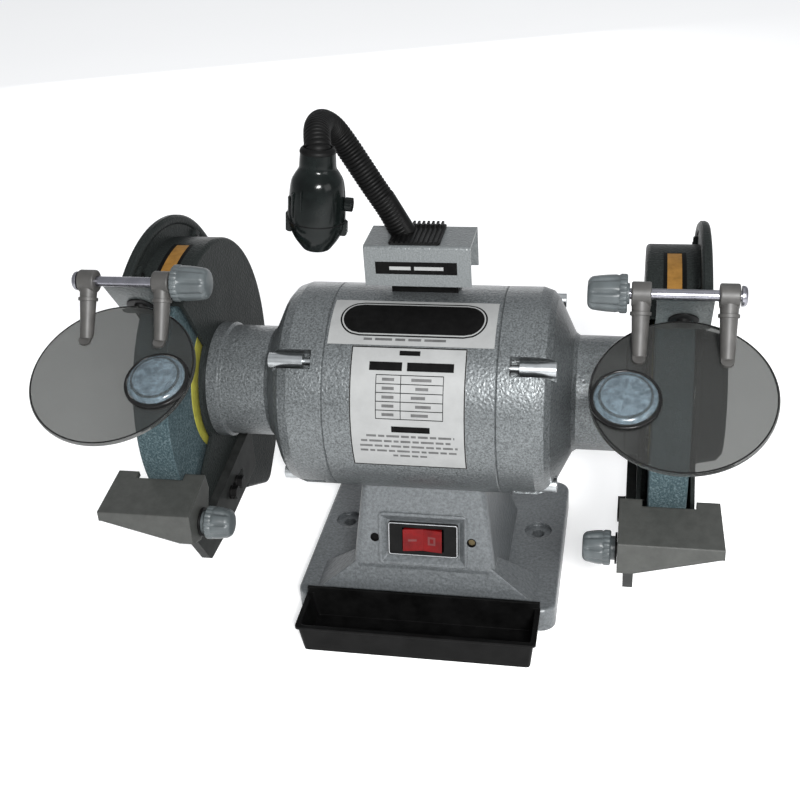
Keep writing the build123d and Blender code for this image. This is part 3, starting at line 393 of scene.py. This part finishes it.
def rounded(points, radius, steps=5):
    """Profile points with its corners rounded."""
    out = []
    count = len(points)
    for i in range(count):
        p0, p1, p2 = (Vector(points[(i + d) % count]) for d in (-1, 0, 1))
        a, b = p0 - p1, p2 - p1
        r = min(radius, a.length * 0.45, b.length * 0.45)
        a, b = p1 + a.normalized() * r, p1 + b.normalized() * r
        for k in range(steps + 1):
            t = k / steps
            out.append(tuple((a * (1 - t) ** 2) + (p1 * 2 * t * (1 - t)) + (b * t ** 2)))
    return out


def spline(points, per=24):
    """Smooth Catmull-Rom line through the points."""
    pts = [Vector(p) for p in points]
    pts = [pts[0] * 2 - pts[1]] + pts + [pts[-1] * 2 - pts[-2]]
    line = []
    for i in range(1, len(pts) - 2):
        a, b, c, d = pts[i - 1:i + 3]
        for k in range(per):
            t = k / per
            line.append(0.5 * ((2 * b) + (c - a) * t + (2 * a - 5 * b + 4 * c - d) * t * t
                               + (3 * b - a - 3 * c + d) * t ** 3))
    line.append(pts[-2])
    return line


def resample(line, step):
    """Points at equal distances along a line, with their distance from its start."""
    out = [(line[0].copy(), 0.0)]
    walked = 0.0
    due = step
    for a, b in zip(line, line[1:]):
        span = (b - a).length
        while span > 0 and due <= walked + span + 1e-9:
            out.append((a.lerp(b, (due - walked) / span), due))
            due += step
        walked += span
    return out


def tube(name, stations, radius_at, material, around=40):
    """Closed tube along (point, distance) stations."""
    verts = []
    points = [p for p, _ in stations]
    side = None
    for i, (p, s) in enumerate(stations):
        ahead = (points[min(i + 1, len(points) - 1)] - points[max(i - 1, 0)]).normalized()
        side = (side - ahead * side.dot(ahead)).normalized() if side else frame_of(ahead)[0]
        up = ahead.cross(side)
        r = radius_at(s)
        for k in range(around):
            a = 2 * pi * k / around
            verts.append(p + side * (r * cos(a)) + up * (r * sin(a)))
    faces = []
    for i in range(len(points) - 1):
        for k in range(around):
            n = (k + 1) % around
            faces.append((i * around + k, i * around + n, (i + 1) * around + n, (i + 1) * around + k))
    faces.append(tuple(range(around)))
    faces.append(tuple((len(points) - 1) * around + k for k in range(around)))
    return make_object(name, verts, faces, material, None, angle=60)


def shaft_point(x, radius, above_front):
    """Point round the shaft at an angle above the front horizontal, in degrees."""
    a = radians(180 - above_front)
    return Vector((x, radius * cos(a), SHAFT_Z + radius * sin(a)))


def wrap(name, rows, radius, rise, material, body, cols=28):
    """Sheet on a cylinder of that radius, from (angle, x0, x1) rows."""
    verts, faces = [], []
    for angle, x0, x1 in rows:
        for k in range(cols + 1):
            x = x0 + (x1 - x0) * k / cols
            verts.append(shaft_point(x, radius + rise, angle))
    for i in range(len(rows) - 1):
        for k in range(cols):
            a = i * (cols + 1) + k
            faces.append((a, a + 1, a + cols + 2, a + cols + 1))
    return make_object(name, verts, faces, material, body)


def patches(name, boxes, radius, rise, material, body):
    """Many printed rectangles (x0, x1, angle0, angle1) on a cylinder as one piece."""
    verts, faces = [], []
    for x0, x1, a0, a1 in boxes:
        steps = max(1, int(abs(a1 - a0) / 2) + 1)
        first = len(verts)
        for i in range(steps + 1):
            a = a0 + (a1 - a0) * i / steps
            verts.append(shaft_point(x0, radius + rise, a))
            verts.append(shaft_point(x1, radius + rise, a))
        for i in range(steps):
            n = first + 2 * i
            faces.append((n, n + 1, n + 3, n + 2))
    return make_object(name, verts, faces, material, body, smooth=False)


def pill(x0, x1, a0, a1, radius, rows=24):
    """Rows of a bar with round ends, on a cylinder of that radius."""
    height = radians(a1 - a0) * radius
    cap = height / 2
    out = []
    for i in range(rows + 1):
        t = -1 + 2 * i / rows
        reach = cap * sqrt(max(0.0, 1 - t * t))
        out.append((a0 + (a1 - a0) * (t + 1) / 2, x0 + cap - reach, x1 - cap + reach))
    return out


# ---------------------------------------------------------------- printed plates
FACE_R = MOTOR_R + 0.5
wrap("name_bar_ink", pill(-52, 52, 56.0, 79.0, FACE_R), FACE_R, 0.05, INK, "base")
wrap("name_bar_line", pill(-50.8, 50.8, 56.9, 78.1, FACE_R), FACE_R, 0.08, PLATE, "base")
wrap("name_bar_fill", pill(-49.8, 49.8, 57.7, 77.3, FACE_R), FACE_R, 0.11, INK, "base")
words = []
cursor = -33.0
for width in (6, 12, 7, 9, 15):  # stands in for a line of small print
    words.append((cursor, cursor + width, 53.6, 55.0))
    cursor += width + 2.2
patches("name_lines", words, FACE_R, 0.06, INK_SOFT, "base")

# the rating plate: headings, an empty table of five rows, and lines of small print, all as plain bars
TABLE_TOP = 35.2
ROW = 4.6
headings = [(-6.5, 8, 45.6, 48.2), (-27, -4, 37.4, 42.0), (-0.5, 32, 37.4, 42.0), (-11, 16, 4.8, 8.2)]
lines = []
for i in range(6):
    angle = TABLE_TOP - ROW * i
    lines.append((-22, 25.4, angle - 0.22, angle + 0.22))
for x in (-22, -4.6, 25):
    lines.append((x, x + 0.5, 12.2, TABLE_TOP))
rating_words = []
for i in range(5):
    middle = TABLE_TOP - ROW * (i + 0.5)
    rating_words.append((-17.5, -9, middle - 0.8, middle + 0.8))
    rating_words.append((3 + (i % 2) * 3, 17 - (i % 3) * 2, middle - 0.8, middle + 0.8))
for i, (start, stop) in enumerate(((-29, 33), (-33, 31), (-34, 35), (-34, 34), (-11, 13))):
    angle = 2.4 - 3.1 * i
    cursor = start
    step = 0
    while cursor < stop:
        width = (7, 4.5, 9, 5.5, 3.5)[(i + step) % 5]
        rating_words.append((cursor, min(cursor + width, stop), angle - 0.65, angle + 0.65))
        cursor += width + 1.4
        step += 1
border = [(-40.2, 40.2, 49.5, 50.2), (-40.2, 40.2, -17.9, -17.2), (-40.4, -39.6, -17.9, 50.2),
          (39.6, 40.4, -17.9, 50.2)]
patches("rating_bars", headings + border, FACE_R, 0.06, INK, "base")
patches("rating_table", lines, FACE_R, 0.07, INK, "base")
patches("rating_words", rating_words, FACE_R, 0.06, INK_SOFT, "base")

# label on the dresser holder, with two blank bars
HOLDER_FRONT = -16.2


def holder_rect(name, x0, x1, low, high, rise, material):
    """Flat rectangle on the holder's front; heights above the shaft."""
    y = HOLDER_FRONT - rise
    corners = [(x, y, SHAFT_Z + h) for x, h in ((x0, low), (x1, low), (x1, high), (x0, high))]
    return make_object(name, corners, [(0, 1, 2, 3)], material, "base", smooth=False)


holder_rect("holder_label", -27.5, 30, 98.6, 107.8, 0.15, INK)
cursor = -17.5
for index, width in enumerate((15.0, 20.5)):
    holder_rect(f"holder_label_bar_{index}", cursor, cursor + width, 101.8, 104.4, 0.22, PLATE)
    cursor += width + 2.5

# rotation stickers on the guard rims
for side, sign in SIDES:
    outer = (*sorted((sign * 168.5, sign * 183.5)), 66, 94)
    inner = (*sorted((sign * 171, sign * 180.5)), 67, 93)
    patches(f"{side}_sticker_frame", [outer], GUARD_R, 0.12, INK, "base")
    patches(f"{side}_sticker_strip", [inner], GUARD_R, 0.18, ORANGE, "base")

# ---------------------------------------------------------------- flexible lamp arm
ARM_LINE = [(-12.5, 9, 296.5), (-20.5, 9, 313), (-30, 9, 329), (-39, 8.6, 345), (-47.5, 8, 360),
            (-54, 4, 372), (-57.5, -8, 380), (-57.0, -23, 382), (-54.5, -36, 379.5), (-52.2, -44.5, 373),
            (-52.4, -46.2, 364)]
BEND_LOW = Vector((-28, 9, 329))
BEND_HIGH = Vector((-46, 8, 359))
UPPER_START = Vector((-54, 4, 372))
RIB_PITCH = 2.6
RIB_FLOOR = 8.05
RIB_HEIGHT = 0.8
arm = resample(spline(ARM_LINE), RIB_PITCH / 8)


def rib(s):
    """Radius of the ribbed tube at a distance along it."""
    return RIB_FLOOR + RIB_HEIGHT * abs(sin(pi * s / RIB_PITCH)) ** 0.6


def nearest(point):
    """Index of the station of the arm nearest to a point."""
    return min(range(len(arm)), key=lambda i: (arm[i][0] - point).length)


low_cut = nearest((BEND_LOW + BEND_HIGH) / 2)
high_cut = nearest(UPPER_START)
lower = tube("gooseneck_ribs_lower", arm[:low_cut + 1], rib, TUBE)
middle = tube("gooseneck_ribs_middle", arm[low_cut:high_cut + 1], rib, TUBE)
upper = tube("gooseneck_ribs_upper", arm[high_cut:], rib, TUBE)
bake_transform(lower)
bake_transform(middle)
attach(upper, "lamp_link_upper")
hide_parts("gooseneck_middle")
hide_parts("gooseneck_upper")

# ---------------------------------------------------------------- lamp head
NECK = Vector((-52.4, -46.2, SHAFT_Z + 193))
LAMP_UP = Vector((6.5, 4, 67)).normalized()


def smooth_profile(points, per=5):
    return [(p.x, p.y) for p in spline([Vector((r, h, 0)) for r, h in points], per)]


def lamp_turned(name, profile, material, around):
    """Piece turned about the lamp's axis, with heights from the end of the arm."""
    return lathe(name, NECK, LAMP_UP, profile, material, "lamp", around)


shell_outer = smooth_profile([(11.5, 4.2), (11.9, -2), (12.3, -6.5), (14.6, -10.2), (17.0, -15),
                              (18.2, -23), (18.7, -33), (18.7, -41), (17.6, -47), (14.9, -53),
                              (11.6, -57.8), (9.4, -60.6), (8.4, -61.4)])
shell_inner = [(7.9, -60.8), (9.6, -58), (12.9, -53), (16, -46), (16.6, -42), (16.4, -24), (15.2, -16),
               (12.6, -11), (10.0, -8.8), (9.9, 4.2)]
boot = [(9.05, 3.4), (11.9, 3.4), (11.6, 5.6), (9.9, 7.2), (9.05, 7.2)]
seam = [(18.55, -41.6), (18.95, -41.4), (18.95, -40.8), (18.55, -40.6)]
shell = lamp_turned("lamp_head_shell", shell_outer + shell_inner, LAMP, 96)
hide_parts("lamp_head")
lamp_turned("lamp_neck_boot", rounded(boot, 0.9, 4), TUBE, 64)
lamp_turned("lamp_body_seam", seam, TUBE, 96)


def lamp_block(name, angle, half_turn, low, high, inside, outside):
    """Block on the side of the lamp, at an angle from its right-hand side towards the back."""
    u, v, w = frame_of(LAMP_UP, (0, 1, 0.3))
    start = atan2(v.x, u.x)
    verts = []
    for h, shrink in ((low, 1.2), (low + 1.2, 0), (high - 1.2, 0), (high, 1.2)):
        for r, t in ((inside, -1), (outside - shrink, -0.8), (outside - shrink, 0.8), (inside, 1)):
            a = -start + radians(angle + t * half_turn)
            verts.append(NECK + u * (r * cos(a)) + v * (r * sin(a)) + w * h)
    faces = []
    for i in range(3):
        for k in range(4):
            n = (k + 1) % 4
            faces.append((4 * i + k, 4 * i + n, 4 * i + 4 + n, 4 * i + 4 + k))
    faces += [(0, 1, 2, 3), (12, 13, 14, 15)]
    return make_object(name, verts, faces, LAMP, "lamp", angle=30)


LAMP_BLOCKS = (
    ("lamp_tab_left", 180, 13, -50, -36, 17, 20.6), ("lamp_tab_right", 0, 11, -50.5, -41, 16, 20.4),
    ("lamp_rib_a", 205, 4, -40, -24, 17.5, 19.5), ("lamp_rib_b", 222, 3, -38, -20, 17, 19.3),
    ("lamp_rib_c", 246, 1.6, -33, -17, 16.5, 18.9), ("lamp_rib_d", 318, 3, -40, -24, 17.5, 19.4),
    ("lamp_rib_e", 60, 4, -40, -22, 17.5, 19.5), ("lamp_rib_f", 120, 4, -40, -22, 17.5, 19.5))
for block in LAMP_BLOCKS:
    lamp_block(*block)

# ---------------------------------------------------------------- knobs
SKIRT = 4.6  # length of a knob's toothed skirt


def knob(name, x_face, y, z, sign, length, radius, collar, stud, node, body):
    """Clamp knob with a toothed skirt and a fluted, rounded grip.

    stud is the bore's radius, then how far bore and collar reach behind the face.
    """

    def grip(angle, r, height):
        if r < collar + 0.5 or height < 0:
            return r
        if height < SKIRT + 0.2:
            return r * (1 - 0.05 * max(0.0, cos(20 * angle)))
        fade = min(1.0, (height - SKIRT) / 3) * min(1.0, max(0.0, (length + 1.5 - height) / 5))
        return r * (1 - 0.12 * fade * max(0.0, cos(8 * angle)) ** 2)

    bore, bore_back, collar_back = stud
    profile = [(bore, -bore_back), (bore, -collar_back), (collar, -collar_back), (collar, 0),
               (radius * 0.93, 0), (radius, 0.8), (radius, SKIRT - 0.5), (radius * 0.97, SKIRT),
               (radius * 0.94, SKIRT + 0.6)]
    for k in range(1, 9):
        t = k / 8
        profile.append((radius * (0.97 - 0.09 * t * t), SKIRT + 0.6 + (length - SKIRT - 4) * t))
    for k in range(1, 8):
        a = (pi / 2) * k / 8
        profile.append((radius * (0.5 + 0.38 * cos(a)), length - 3.4 + 4.6 * sin(a)))
    profile.append((0.6, length + 1.3))
    piece = lathe(name, (sign * x_face, y, z), (-sign, 0, 0), profile, KNOB, body,
                  around=120, closed=False, shape=grip)
    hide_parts(node)


ROD_AT = (-88, SHAFT_Z + 122)
CLAMP_AT = (-112, SHAFT_Z - 54)
for side, sign in SIDES:
    knob(f"{side}_shield_knob_grip", 146.2, *ROD_AT, sign, 23, 12.1, 6.5, (6.3, 1.3, 1.0),
         f"{side}_shield_knob", f"{side}_shield_clamp")
    knob(f"{side}_rest_knob_grip", 141.5, *CLAMP_AT, sign, 17.5, 11.8, 8.0, (4.0, 15, 4.0),
         f"{side}_rest_knob", f"{side}_table_clamp")
    lathe(f"{side}_rest_washer", (sign * 145.8, *CLAMP_AT), (-sign, 0, 0),
          rounded([(8.3, 0.1), (10.6, 0.1), (10.6, 1.5), (8.3, 1.5)], 0.3, 2),
          BLACK_STEEL, f"{side}_table_clamp", 48)

# ---------------------------------------------------------------- eye-shield details
LENS_SLOPE = radians(25)
LENS_UP = Vector((0, -sin(LENS_SLOPE), cos(LENS_SLOPE)))
LENS_OUT = Vector((0, -cos(LENS_SLOPE), -sin(LENS_SLOPE)))
MAGNIFIER_INWARD = 33.2
MAGNIFIER_FORWARD = 6.4
FILM = 0.12
ring = rounded([(19.6, 1.6), (21.7, 1.6), (21.3, 4.2), (19.6, 4.7)], 0.5, 3)
dome = [(18.9, 4.75), (18.3, 5.6), (17.1, 6.6), (15.2, 7.4), (12, 8.0), (6, 8.4), (0.5, 8.5)]
dome_film = [(r, h - FILM) for r, h in dome] + dome[::-1]
edge_line = [(53.9, 1.52), (54.85, 1.52), (54.8, 1.7), (53.9, 1.7)]
for side, sign in SIDES:
    lens_middle = Vector((sign * 181, -131, SHAFT_Z + 76.5))
    magnifier = lens_middle + Vector((-sign * MAGNIFIER_INWARD, 0, 0)) + LENS_OUT * MAGNIFIER_FORWARD
    for part, origin, profile, material, around in (
            ("magnifier_ring", magnifier, ring, LENS_EDGE, 72),
            ("magnifier_dome", magnifier, dome_film, MAGNIFIER_REFLECTION, 72),
            ("lens_edge_line", lens_middle, edge_line, LENS_EDGE, 120)):
        lathe(f"{side}_{part}", origin, LENS_UP, profile, material, f"{side}_shield", around)

# ---------------------------------------------------------------- rolled bead of the guard covers
BEAD_SECTION = [(117.2, 191.8), (124.3, 191.8), (124.3, 199.2), (117.2, 199.2)]  # (radius, distance out)


def bead(name, sign, start, stop, steps=90):
    """Rounded roll along the edge of a cover, from one angle to another above the rear horizontal."""
    verts, faces = [], []
    section = rounded(BEAD_SECTION, 3.2, 4)
    count = len(section)
    for i in range(steps + 1):
        a = radians(start + (stop - start) * i / steps)
        for r, x in section:
            verts.append((sign * x, r * cos(a), SHAFT_Z + r * sin(a)))
    for i in range(steps):
        for k in range(count):
            n = (k + 1) % count
            faces.append((i * count + k, i * count + n, (i + 1) * count + n, (i + 1) * count + k))
    faces.append(tuple(range(count)))
    faces.append(tuple(steps * count + k for k in range(count)))
    return make_object(name, verts, faces, GUARD, "base", angle=50)


for side, sign in SIDES:
    bead(f"{side}_cover_bead", sign, -30, 121.5)

# ---------------------------------------------------------------- switch details
FACE_DOWN = Vector((0, -16, -66)).normalized()
FACE_OUT = Vector((0, FACE_DOWN.z, -FACE_DOWN.y))
SWITCH_AT = Vector((0, -36, 112)) + FACE_DOWN * 45.5
SCREW_OUT = 37.3


def on_switch(u, v, lift):
    """Point on the sloping face: u to the right, v up it, lift out of it, from the switch's middle."""
    return SWITCH_AT + Vector((u, 0, 0)) - FACE_DOWN * v + FACE_OUT * lift


def round_rectangle(half, radius):
    """Corner points of a rounded rectangle, from its half sizes."""
    out = []
    for cx, cy, first in ((1, 1, 0), (-1, 1, 90), (-1, -1, 180), (1, -1, 270)):
        for k in range(7):
            a = radians(first + 15 * k)
            out.append((cx * (half[0] - radius) + radius * cos(a),
                        cy * (half[1] - radius) + radius * sin(a)))
    return out


def outline_ring(name, outer, inner, low, high, material, body):
    """Raised line between two rounded rectangles (half sizes) on the switch."""
    wide, narrow = round_rectangle(outer, 1.8), round_rectangle(inner, 1.2)
    count = len(wide)
    verts = [on_switch(u, v, lift) for lift in (low, high) for loop in (wide, narrow) for u, v in loop]
    faces = []
    for k in range(count):
        n = (k + 1) % count
        faces.append((k, n, 2 * count + n, 2 * count + k))
        faces.append((count + n, count + k, 3 * count + k, 3 * count + n))
        faces.append((2 * count + k, 2 * count + n, 3 * count + n, 3 * count + k))
        faces.append((n, k, count + k, count + n))
    return make_object(name, verts, faces, material, body, smooth=False)


# black ink rings and a black disc in the screw holes are painted shade that darkens the holes
for index, u in enumerate((-SCREW_OUT, SCREW_OUT)):
    lathe(f"switch_hole_shadow_{index}", on_switch(u, 0, 0), FACE_OUT,
          [(2.5, -1.4), (3.44, -1.4), (3.44, 0.06), (2.9, 0.06)], INK, "base", 32)
lathe("switch_hole_shade_disc", on_switch(-SCREW_OUT, 0, 0), FACE_OUT,
      [(3.0, -1.3), (3.0, -1.0), (0.3, -1.0)], INK, "base", 32, closed=False)
# thin zinc line round the switch recess: partly the frame's silver edge, partly a painted highlight on
# it
outline_ring("switch_frame_highlight_line", (26.6, 13.1), (25.9, 12.4), -0.25, 0.1, ZINC, "base")


def key_height(u):
    """Height of the dished key's top at a distance from its middle, with a hair of clearance."""
    return 0.2 + 2.6 * abs(u) / 15 + 0.09


# the usual bar and ring of an on-off switch, as (u0, u1, v0, v1) strokes
MARK_STROKES = ((-11, -4.5, -0.9, 0.9), (4, 10, -3.4, -1.8), (4, 10, 1.8, 3.4), (4, 5.6, -1.8, 1.8),
                (8.4, 10, -1.8, 1.8))
marks, mark_faces = [], []
for u0, u1, v0, v1 in MARK_STROKES:
    first = len(marks)
    marks += [on_switch(u, v, key_height(u)) for u, v in ((u0, v0), (u1, v0), (u1, v1), (u0, v1))]
    mark_faces.append((first, first + 1, first + 2, first + 3))
make_object("switch_key_marks", marks, mark_faces, RED_DARK, "rocker", smooth=False)

# small bright rivets on the inner walls of the guards, and washers of the arrestor screws
PLATE_DOWN = Vector((0, 0.6, -0.8))
PLATE_OUT = (0, -0.8, -0.6)
TAB_SCREW = 31
for side, sign in SIDES:
    lathe(f"{side}_guard_rivet", (sign * 157, 31, SHAFT_Z - 95), (-sign, 0, 0),
          [(2.0, 0), (1.9, 0.7), (1.2, 1.2), (0.2, 1.35)], ZINC, "base", 24, False)
    screw_at = Vector((sign * 181.2, *ROD_AT)) + PLATE_DOWN * TAB_SCREW
    lathe(f"{side}_arrestor_washer", screw_at, PLATE_OUT,
          rounded([(3.3, 1.45), (9.6, 1.45), (9.6, 2.7), (3.3, 2.7)], 0.4, 2),
          BLACK_STEEL, "base", 56)

# ---------------------------------------------------------------- ground and studio
FLOOR_HALF = 4


def build_floor():
    verts = [(x * FLOOR_HALF, y * FLOOR_HALF, 0) for x, y in ((-1, -1), (1, -1), (1, 1), (-1, 1))]
    mesh = bpy.data.meshes.new("studio_floor")
    mesh.from_pydata(verts, [], [(0, 1, 2, 3)])
    s = Shader("studio_white")
    s.colour(s.ramp(s.noise(600, 2), [(0.3, grey(0.86)), (0.7, grey(0.88))]))
    s.set(Roughness=0.9, Emission_Color=(1, 1, 1, 1), Emission_Strength=0.3, Specular_IOR_Level=0.0)
    s.bump(s.noise(8, 2), 0.01, 0.05)
    mesh.materials.append(s.mat)
    floor = bpy.data.objects.new("studio_floor", mesh)
    bpy.context.scene.collection.objects.link(floor)


build_floor()


def area_light(name, position, target, size, power):
    data = bpy.data.lights.new(name, "AREA")
    data.shape = "RECTANGLE"
    data.size, data.size_y = size
    data.energy = power
    lamp = bpy.data.objects.new(name, data)
    bpy.context.scene.collection.objects.link(lamp)
    lamp.location = position
    aim = Vector(target) - Vector(position)
    lamp.rotation_euler = aim.to_track_quat("-Z", "Y").to_euler()


area_light("key", (0.5, -1.32, 1.02), (0, 0, 0.18), (0.3, 0.3), 42)
area_light("flash", (0.17, -0.82, 0.69), (0, 0, 0.2), (0.05, 0.05), 3.2)
area_light("fill_right", (1.5, -0.9, 0.8), (0, 0, 0.2), (0.9, 0.9), 10)
area_light("top_soft", (0.1, 0.3, 1.7), (0, 0, 0.1), (1.4, 1.2), 3)
area_light("back_fill", (-0.5, 1.6, 0.3), (0, 0, 0.15), (1.2, 0.5), 3)
world = bpy.data.worlds.new("studio")
bpy.context.scene.world = world
world.use_nodes = True
world.node_tree.nodes["Background"].inputs["Color"].default_value = (0.95, 0.97, 1.0, 1)
world.node_tree.nodes["Background"].inputs["Strength"].default_value = 0.57

# ---------------------------------------------------------------- camera
CAMERA_AT = (0.1511, -0.7598, 0.6183)
YAW, PITCH, ROLL = 0.222, 0.529, -0.072
camera_data = bpy.data.cameras.new("camera")
camera_data.sensor_width = 36
camera_data.lens = 53.74
camera_data.clip_start = 0.05
camera_data.clip_end = 20
camera = bpy.data.objects.new("camera", camera_data)
bpy.context.scene.collection.objects.link(camera)
forward = Vector((-sin(YAW) * cos(PITCH), cos(YAW) * cos(PITCH), -sin(PITCH)))
right = Vector((cos(YAW), sin(YAW), 0))
up = right.cross(forward)
cam_x = right * cos(ROLL) + up * sin(ROLL)
cam_y = -right * sin(ROLL) + up * cos(ROLL)
camera.matrix_world = Matrix((
    (cam_x.x, cam_y.x, -forward.x, CAMERA_AT[0]),
    (cam_x.y, cam_y.y, -forward.y, CAMERA_AT[1]),
    (cam_x.z, cam_y.z, -forward.z, CAMERA_AT[2]),
    (0, 0, 0, 1)))
bpy.context.scene.camera = camera
bpy.context.scene.view_settings.view_transform = "Standard"
